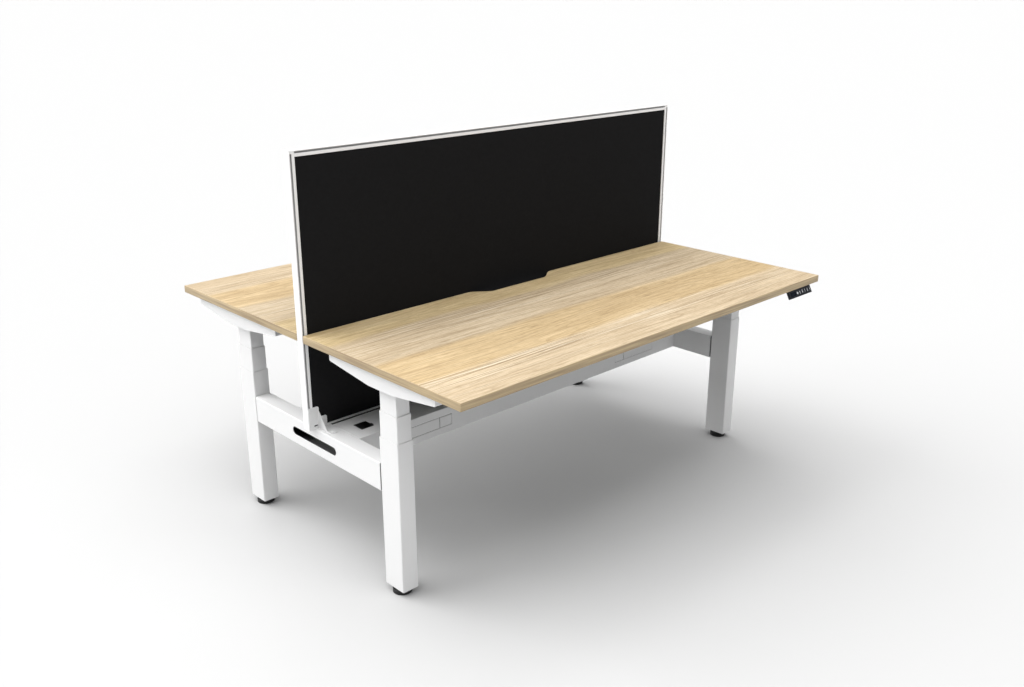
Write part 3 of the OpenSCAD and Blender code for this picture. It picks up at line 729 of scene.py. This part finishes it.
def scallop_side(share, inset, looks):
    """Points of the left slope of the scallop at shares 0 to 1 of its run.

    The depth follows half a cosine wave: depth times (1 - cos(pi t)) / 2. A point is moved in from
    the edge by the inset, square to the slope of the wave.
    """
    run = (looks.scallop_width - looks.scallop_flat) / 2
    depth = looks.scallop_depth * (1 - np.cos(math.pi * share)) / 2
    slope = looks.scallop_depth * math.pi / 2 * np.sin(math.pi * share) / run
    length = np.sqrt(1 + slope ** 2)
    x = -looks.scallop_width / 2 + share * run - inset * slope / length
    return np.stack([x, BAND_HIGH.y - depth - inset / length], -1)


def worktop_path(looks):
    """Outline of the near worktop, once round and counter-clockwise seen from above.

    The corners are quarter circles, and the rear edge dips into the scallop.
    """
    radius = looks.corner
    quarter = np.linspace(0, math.pi / 2, QUARTER_POINTS)

    def corner(x, y, start):
        angles = quarter + start
        return np.stack([x + radius * np.cos(angles), y + radius * np.sin(angles)], -1)

    left, right = BAND_LOW.x + radius, BAND_HIGH.x - radius
    front, rear = BAND_LOW.y + radius, BAND_HIGH.y - radius
    slope = scallop_side(np.linspace(0, 1, BAND_SLOPE_POINTS), 0.0, looks)
    return np.concatenate([
        corner(left, front, math.pi),
        corner(right, front, 1.5 * math.pi),
        corner(right, rear, 0.0),
        slope * np.array([-1, 1]),
        slope[::-1],
        corner(left, rear, 0.5 * math.pi),
    ])


def carried_profile(path, insets, heights):
    """A closed profile carried round a closed path, mitred at each point.

    The miter of a point is the sum of the inward normals of its two edges over one plus their dot
    product, so that every face keeps its distance from its edge. Rows follow the path, whose
    inward side is on its left.
    """
    edge = np.roll(path, -1, 0) - path
    edge /= np.linalg.norm(edge, axis=1)[:, None]
    inward = np.stack([-edge[:, 1], edge[:, 0]], -1)
    before = np.roll(inward, 1, 0)
    miter = (inward + before) / (1 + np.sum(inward * before, 1))[:, None]
    flat = path[:, None, :] + insets[None, :, None] * miter[:, None, :]
    upright = np.broadcast_to(heights[None, :, None], flat.shape[:2] + (1,))
    return np.concatenate([flat, upright], -1)


def edge_band(side, looks, material):
    """Edge banding: a 2 mm strip, its two arrises quarter circles, carried round the worktop.

    The UV map holds metres along the path and up the profile.
    """
    inner = BOARD_LOW.x - BAND_LOW.x
    low, high = BAND_LOW.z, BAND_HIGH.z
    quarter = np.linspace(0, math.pi / 2, QUARTER_POINTS)
    r = looks.arris
    insets = np.concatenate([
        [inner], r - r * np.sin(quarter), r - r * np.cos(quarter), [inner]])
    heights = np.concatenate([
        [low], low + r - r * np.cos(quarter), high - r + r * np.sin(quarter), [high]])
    path = worktop_path(looks)
    points = carried_profile(path, insets, heights)
    # The first row is there twice, so that the print doesn't run back over the last stretch
    rows, columns = points.shape[:2]
    points = np.concatenate([points, points[:1]])
    step = np.linalg.norm(np.diff(np.vstack([path, path[:1]]), axis=0), axis=1)
    along = np.concatenate([[0], np.cumsum(step)])
    up = np.concatenate([[0], np.cumsum(np.hypot(np.diff(insets), np.diff(heights)))])
    uv = np.stack(np.broadcast_arrays(along[:, None], up[None, :]), -1)
    faces = grid_faces(rows + 1, columns, wrap_columns=True)
    return make_piece(side + "_oak_edge_banding", turned(points, side), faces, material, uv=uv)


def worktop_board(side, looks, material, backing):
    """Laminated board inside its banding: a grid from the front edge to the rear edge.

    The rear edge is straight, then falls along the cosine wave to the flat of the scallop and
    back. The UV map holds metres along the front edge and back from it, so both boards show the
    print alike.
    """
    side_columns, rows = 12, 9
    inset = BOARD_LOW.x - BAND_LOW.x
    slope = scallop_side(np.linspace(0, 1, BOARD_SLOPE_POINTS), inset, looks)
    outer_x = np.linspace(BAND_LOW.x + inset, slope[0, 0], side_columns + 1)[:-1]
    half_x = np.concatenate([outer_x, slope[:, 0]])
    half_y = np.concatenate([np.full(side_columns, BAND_HIGH.y - inset), slope[:, 1]])
    x = np.concatenate([half_x, -half_x[::-1]])
    rear = np.concatenate([half_y, half_y[::-1]])
    front = BAND_LOW.y + inset
    y = front + np.linspace(0, 1, rows)[:, None] * (rear[None, :] - front)
    grid = np.stack(np.broadcast_arrays(x[None, :], y), -1)
    layers = [
        np.concatenate([grid, np.full(grid.shape[:2] + (1,), z)], -1)
        for z in (BAND_HIGH.z, BAND_LOW.z)
    ]
    points = turned(np.stack(layers), side)
    cut_from = 0.0 if side == "near" else FAR_SHEET_OFFSET
    uv = np.stack([grid - np.array([BAND_LOW.x - cut_from, BAND_LOW.y])] * 2)
    faces = slab_faces(*grid.shape[:2])
    quads = (grid.shape[0] - 1) * (grid.shape[1] - 1)
    number = np.arange(len(faces))
    underside = (number >= quads) & (number < 2 * quads)
    return make_piece(
        side + "_oak_laminate_board", points, faces, material,
        uv=uv, second=backing, second_faces=underside)


def fabric_panel(side, looks, material):
    """Fabric stretched over the screen's board, tucked in behind the frame all round.

    Its height over the board is a shallow crown, the product of two sine arches, and within one
    roll radius of an edge it drops along a quarter circle.
    """
    roll_points, columns, rows = 6, 61, 31
    gap = 0.4 * MM
    low_x, high_x = FABRIC_LOW.x + gap, FABRIC_HIGH.x - gap
    low_z, high_z = FABRIC_LOW.z + gap, FABRIC_HIGH.z - gap
    roll = (looks.roll * (1 - np.cos(np.linspace(0, math.pi / 2, roll_points))))[:-1]

    def spaced(low, high, count):
        middle = np.linspace(low + looks.roll, high - looks.roll, count)
        return np.concatenate([low + roll, middle, (high - roll)[::-1]])

    grid_x, grid_z = np.meshgrid(spaced(low_x, high_x, columns), spaced(low_z, high_z, rows))
    edge = np.minimum(
        np.minimum(grid_x - low_x, high_x - grid_x), np.minimum(grid_z - low_z, high_z - grid_z))
    inside = np.clip(looks.roll - edge, 0, looks.roll)
    drop = looks.roll - np.sqrt(np.maximum(looks.roll ** 2 - inside ** 2, 0))
    arch = (np.sin(math.pi * (grid_x - low_x) / (high_x - low_x))
            * np.sin(math.pi * (grid_z - low_z) / (high_z - low_z)))
    face_y = FABRIC_LOW.y + drop - looks.crown * arch
    outer = np.stack([grid_x, face_y, grid_z], -1)
    inner = outer + np.array([0, looks.cloth, 0])
    points = turned(np.stack([outer, inner]), side)
    faces = slab_faces(*grid_x.shape)
    return make_piece("screen_fabric_cover_" + side, points, faces, material)


def face_normal():
    """Direction out of the slanted face of the near handset: against the press of its keys."""
    press = next(joint for joint in frame["joints"] if joint["name"] == "near_key_up_press")
    return -np.array(press["axis"])


def raised_outline(name, outline, middle, thick, material, side):
    """A flat raised mark on a handset's face: an outline along and up it, given a thickness."""
    normal = face_normal()
    along = np.array([1.0, 0.0, 0.0])
    up = np.cross(normal, along)
    base = middle + outline[:, :1] * along + outline[:, 1:] * up
    layers = turned(np.stack([base, base + thick * normal]), side)
    count = len(outline)
    ring = grid_faces(2, count, wrap_columns=True).tolist()
    caps = [list(range(count))[::-1], list(range(count, 2 * count))]
    mesh = bpy.data.meshes.new(name)
    mesh.from_pydata(layers.reshape(-1, 3).tolist(), [], ring + caps)
    mesh.materials.append(material)
    return close_shell(name, mesh)


def key_face_point(key):
    """Middle of the outer face of a near key."""
    low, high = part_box("near_key_" + key)
    middle = np.array((low + high) / 2)
    normal = face_normal()
    points = np.array([v.co for v in frame["nodes"]["near_key_" + key].data.vertices])
    reach = ((points - middle) @ normal).max()
    return middle + normal * reach


def mark_outline(key, looks):
    """Outline of a key's mark: an arrow for up and down, and figures for the stored heights.

    A figure is one closed line round its strokes. h and w are half its height and half its width,
    and s is its stroke.
    """
    h = looks.mark_height / 2
    w = 0.30 * h
    s = looks.stroke
    if key in ("up", "down"):
        head, neck = 1.6 * w, 0.25 * h
        arrow = np.array([
            [-s, -h], [s, -h], [s, neck], [head, neck], [0.0, h], [-head, neck], [-s, neck]])
        return arrow if key == "up" else arrow * np.array([1, -1])
    if key == "one":
        flag, flag_low, flag_root = -1.3 * s, h - 1.7 * s, h - 1.1 * s
        return np.array([
            [-s / 2, -h], [s / 2, -h], [s / 2, h], [-s / 2, h], [flag, h - s], [flag, flag_low],
            [-s / 2, flag_root]])
    if key == "two":
        return np.array([
            [-w, -h], [w, -h], [w, -h + s], [-w + s, -h + s], [-w + s, -s / 2], [w, -s / 2],
            [w, h], [-w, h], [-w, h - s], [w - s, h - s], [w - s, s / 2], [-w, s / 2]])
    return np.array([
        [-w, -h], [w, -h], [w, h], [-w, h], [-w, h - s], [w - s, h - s], [w - s, s / 2],
        [-w, s / 2], [-w, -s / 2], [w - s, -s / 2], [w - s, -h + s], [-w, -h + s]])


# Operators


class DESK_OT_stage(bpy.types.Operator):
    """Makes the camera, the floor and the lights"""

    bl_idname = "desk.stage"
    bl_label = "Camera and stage"

    def execute(self, context):
        looks = context.scene.desk_stage
        camera = bpy.data.cameras.new("camera")
        camera.sensor_width = 36.0
        camera.lens = camera.sensor_width * FOCAL_PIXELS / FRAME_PIXELS
        camera.clip_start, camera.clip_end = 0.05, 1000.0
        eye = bpy.data.objects.new("camera", camera)
        eye.location = CAMERA_PLACE
        eye.rotation_euler = looking_in(CAMERA_BEARING, CAMERA_HEIGHT)
        context.scene.collection.objects.link(eye)
        context.scene.camera = eye
        context.scene.view_settings.view_transform = "Standard"

        # The floor reaches so far that its edge lies on the horizon
        reach = 400.0
        corners = reach * np.array([[-1, -1, 0], [1, -1, 0], [1, 1, 0], [-1, 1, 0]])
        floor = make_piece("studio_floor", corners, np.array([[0, 1, 2, 3]]), floor_paint(looks))

        # The room shows white to the camera and gives no light of its own
        world = bpy.data.worlds.new("white_room")
        world.use_nodes = True
        tree = world.node_tree
        background = tree.nodes["Background"]
        background.inputs["Color"].default_value = (1, 1, 1, 1)
        seen = add_node(tree, "LightPath")
        tree.links.new(seen.outputs["Is Camera Ray"], background.inputs["Strength"])
        context.scene.world = world

        for name, (bearing, height, strength) in SOFT_LAMPS.items():
            # A sun lamp of energy pi gives full light to a surface turned to it
            lamp = bpy.data.lights.new(name, "SUN")
            lamp.energy = math.pi * strength * looks.light
            lamp.angle = looks.softness
            holder = bpy.data.objects.new(name, lamp)
            holder.rotation_euler = looking_in(bearing, height)
            context.scene.collection.objects.link(holder)
        return {"FINISHED"}


class DESK_OT_worktops(bpy.types.Operator):
    """Makes the two laminated boards and their edge banding"""

    bl_idname = "desk.worktops"
    bl_label = "Worktops"

    def execute(self, context):
        looks = context.scene.desk_worktop
        laminate, backing, banding = oak_laminate(looks), backing_laminate(), oak_banding(looks)
        for side in SIDES:
            board = worktop_board(side, looks, laminate, backing)
            band = edge_band(side, looks, banding)
            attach(board, side + "_desk")
            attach(band, side + "_desk")
            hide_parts(side + "_worktop")
            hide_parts(side + "_edge_band")
        return {"FINISHED"}


class DESK_OT_screen(bpy.types.Operator):
    """Stretches the fabric over the screen and finishes its frame"""

    bl_idname = "desk.screen"
    bl_label = "Screen"

    def execute(self, context):
        looks = context.scene.desk_screen
        steel = context.scene.desk_steel
        fabric = woven_fabric(looks)
        for side in SIDES:
            cover = fabric_panel(side, looks, fabric)
            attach(cover, "frame")
            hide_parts("screen_fabric_" + side)
        # Painted shade in the grooves of the posts and the top rail: all but a thin skin under
        # their outer faces is darkened
        skin = 0.3 * MM
        grooves = [(looks.groove_painted_shade, shade_box_of(*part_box(name), skin))
                   for name in ("screen_post_right", "screen_top_rail")]
        coat = powder_coat(
            "white_powder_coated_aluminium_extrusion", looks.frame_white,
            grit=1.6 * MM, roughness=0.38, shaded_hollows=grooves)
        bars = ("screen_post_left", "screen_post_right", "screen_top_rail", "screen_bottom_rail")
        dress(coat, *bars)
        soften(steel.cut_edge, *bars)
        dress(chip_board(), "screen_board")
        return {"FINISHED"}


class DESK_OT_steelwork(bpy.types.Operator):
    """Coats the legs, arms, beams, tray, lids, panels and brackets"""

    bl_idname = "desk.steelwork"
    bl_label = "Steelwork"

    def execute(self, context):
        looks = context.scene.desk_steel
        wall = 2 * MM
        tray_low, tray_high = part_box("cable_tray")
        tray_high.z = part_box("tray_lid_near")[1].z
        # Painted shade inside the tray and under its lids, and inside the crossbeams and the gaps
        # at their ends
        shaded_hollows = [(looks.tray_painted_shade, shade_box_of(tray_low, tray_high, wall)),
                   (looks.beam_painted_shade, shade_box_of(*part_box("crossbeam_right"), wall))]
        coat = powder_coat(
            "white_powder_coated_steel", looks.white,
            grit=1.2 * MM, roughness=0.45, shaded_hollows=shaded_hollows)
        tubes = [f"leg_tube_{side}_{hand}" for side in SIDES for hand in HANDS]
        tubes += [f"{side}_{stage}_tubes" for side in SIDES for stage in ("inner", "mid")]
        folded = [f"{side}_arm_{hand}" for side in SIDES for hand in HANDS]
        beams = ["crossbeam_left", "crossbeam_right", "near_top_beam", "far_top_beam"]
        sheets = ["cable_tray", "tray_lid_near", "tray_lid_far", "screen_brackets"]
        dress(coat, *tubes, *folded, *beams, *sheets, "power_blanks", "frame_screws")
        soften(looks.bend, *folded)
        soften(looks.cut_edge, *tubes, *beams, *sheets)
        soften(looks.cut_edge / 2, "power_blanks")
        return {"FINISHED"}


class DESK_OT_lifting_gear(bpy.types.Operator):
    """Finishes the gear housings, screws, guide posts and control boxes"""

    bl_idname = "desk.lifting_gear"
    bl_label = "Lifting gear"

    def execute(self, context):
        looks = context.scene.desk_fittings
        drives = [side + "_lift_drives" for side in SIDES]
        boxes = [side + "_control_box" for side in SIDES]
        screws = [f"{side}_screw_{hand}" for side in SIDES for hand in HANDS]
        fasteners = [side + "_top_screws" for side in SIDES]
        dress(cast_housing(), *drives)
        dress(moulded_plastic(
            "black_moulded_abs_control_box", looks.box_black, roughness=0.5), *boxes)
        dress(zinc_plate(), "leg_base_posts", *screws, *fasteners)
        soften(looks.housing_edge, *drives, *boxes)
        return {"FINISHED"}


class DESK_OT_handsets(bpy.types.Operator):
    """Finishes the handsets and adds their window, round mark and key marks"""

    bl_idname = "desk.handsets"
    bl_label = "Handsets"

    def execute(self, context):
        looks = context.scene.desk_handset
        ink, window = pad_ink(looks), display_window()
        housings = [side + "_handset" for side in SIDES]
        keys = [f"{side}_key_{key}" for side in SIDES for key in KEY_NAMES]
        dress(moulded_plastic(
            "black_moulded_abs_handset", looks.black, roughness=0.42), *housings)
        dress(moulded_plastic("black_moulded_abs_keys", looks.key_black, roughness=0.5), *keys)
        soften(looks.edge, *housings)
        soften(looks.key_edge, *keys)

        film, thick, keys_proud = 0.12 * MM, 0.25 * MM, 0.8 * MM
        length = HANDSET_HIGH.x - HANDSET_LOW.x
        window_place = key_face_point("one") - keys_proud * face_normal()
        dot_place = window_place.copy()
        window_place[0] = HANDSET_LOW.x + looks.window_share * length
        dot_place[0] = HANDSET_LOW.x + looks.dot_share * length
        corners = np.array([[-1, -1], [1, -1], [1, 1], [-1, 1]])
        pane = corners * np.array([looks.window_length, looks.window_height]) / 2
        dot_points = 32
        angles = np.linspace(0, 2 * math.pi, dot_points + 1)[:-1]
        circle = looks.dot * np.stack([np.cos(angles), np.sin(angles)], -1)
        for side in SIDES:
            for key in KEY_NAMES:
                mark = raised_outline(
                    f"{side}_key_mark_{key}", mark_outline(key, looks), key_face_point(key),
                    film, ink, side)
                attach(mark, f"{side}_key_{key}_body")
            display = raised_outline(
                side + "_display_window", pane, window_place, thick, window, side)
            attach(display, side + "_desk")
            dot = raised_outline(side + "_indicator_dot", circle, dot_place, thick, ink, side)
            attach(dot, side + "_desk")
        return {"FINISHED"}


class DESK_OT_feet(bpy.types.Operator):
    """Finishes the levelling feet"""

    bl_idname = "desk.feet"
    bl_label = "Levelling feet"

    def execute(self, context):
        looks = context.scene.desk_fittings
        nylon = moulded_plastic("black_moulded_nylon_feet", looks.foot_black, roughness=0.55)
        dress(nylon, *[f"foot_{side}_{hand}" for side in SIDES for hand in HANDS])
        return {"FINISHED"}


class DESK_PT_sidebar(bpy.types.Panel):
    """Lists the steps that build the desk"""

    bl_label = "Benching desk"
    bl_idname = "DESK_PT_sidebar"
    bl_space_type = "VIEW_3D"
    bl_region_type = "UI"
    bl_category = "Desk"

    def draw(self, context):
        for step in STEPS:
            self.layout.operator(step.bl_idname)


GROUPS = {
    "desk_worktop": DeskWorktopLooks,
    "desk_screen": DeskScreenLooks,
    "desk_steel": DeskSteelLooks,
    "desk_fittings": DeskFittingLooks,
    "desk_handset": DeskHandsetLooks,
    "desk_stage": DeskStageLooks,
}
STEPS = (
    DESK_OT_stage,
    DESK_OT_worktops,
    DESK_OT_screen,
    DESK_OT_steelwork,
    DESK_OT_lifting_gear,
    DESK_OT_handsets,
    DESK_OT_feet,
)


def register():
    for kind in (*GROUPS.values(), *STEPS, DESK_PT_sidebar):
        bpy.utils.register_class(kind)
    for name, kind in GROUPS.items():
        setattr(bpy.types.Scene, name, PointerProperty(type=kind))


def unregister():
    for name in GROUPS:
        delattr(bpy.types.Scene, name)
    for kind in reversed((*GROUPS.values(), *STEPS, DESK_PT_sidebar)):
        bpy.utils.unregister_class(kind)


def main():
    register()
    bpy.ops.desk.stage()
    bpy.ops.desk.worktops()
    bpy.ops.desk.screen()
    bpy.ops.desk.steelwork()
    bpy.ops.desk.lifting_gear()
    bpy.ops.desk.handsets()
    bpy.ops.desk.feet()


if __name__ == "__main__":
    main()
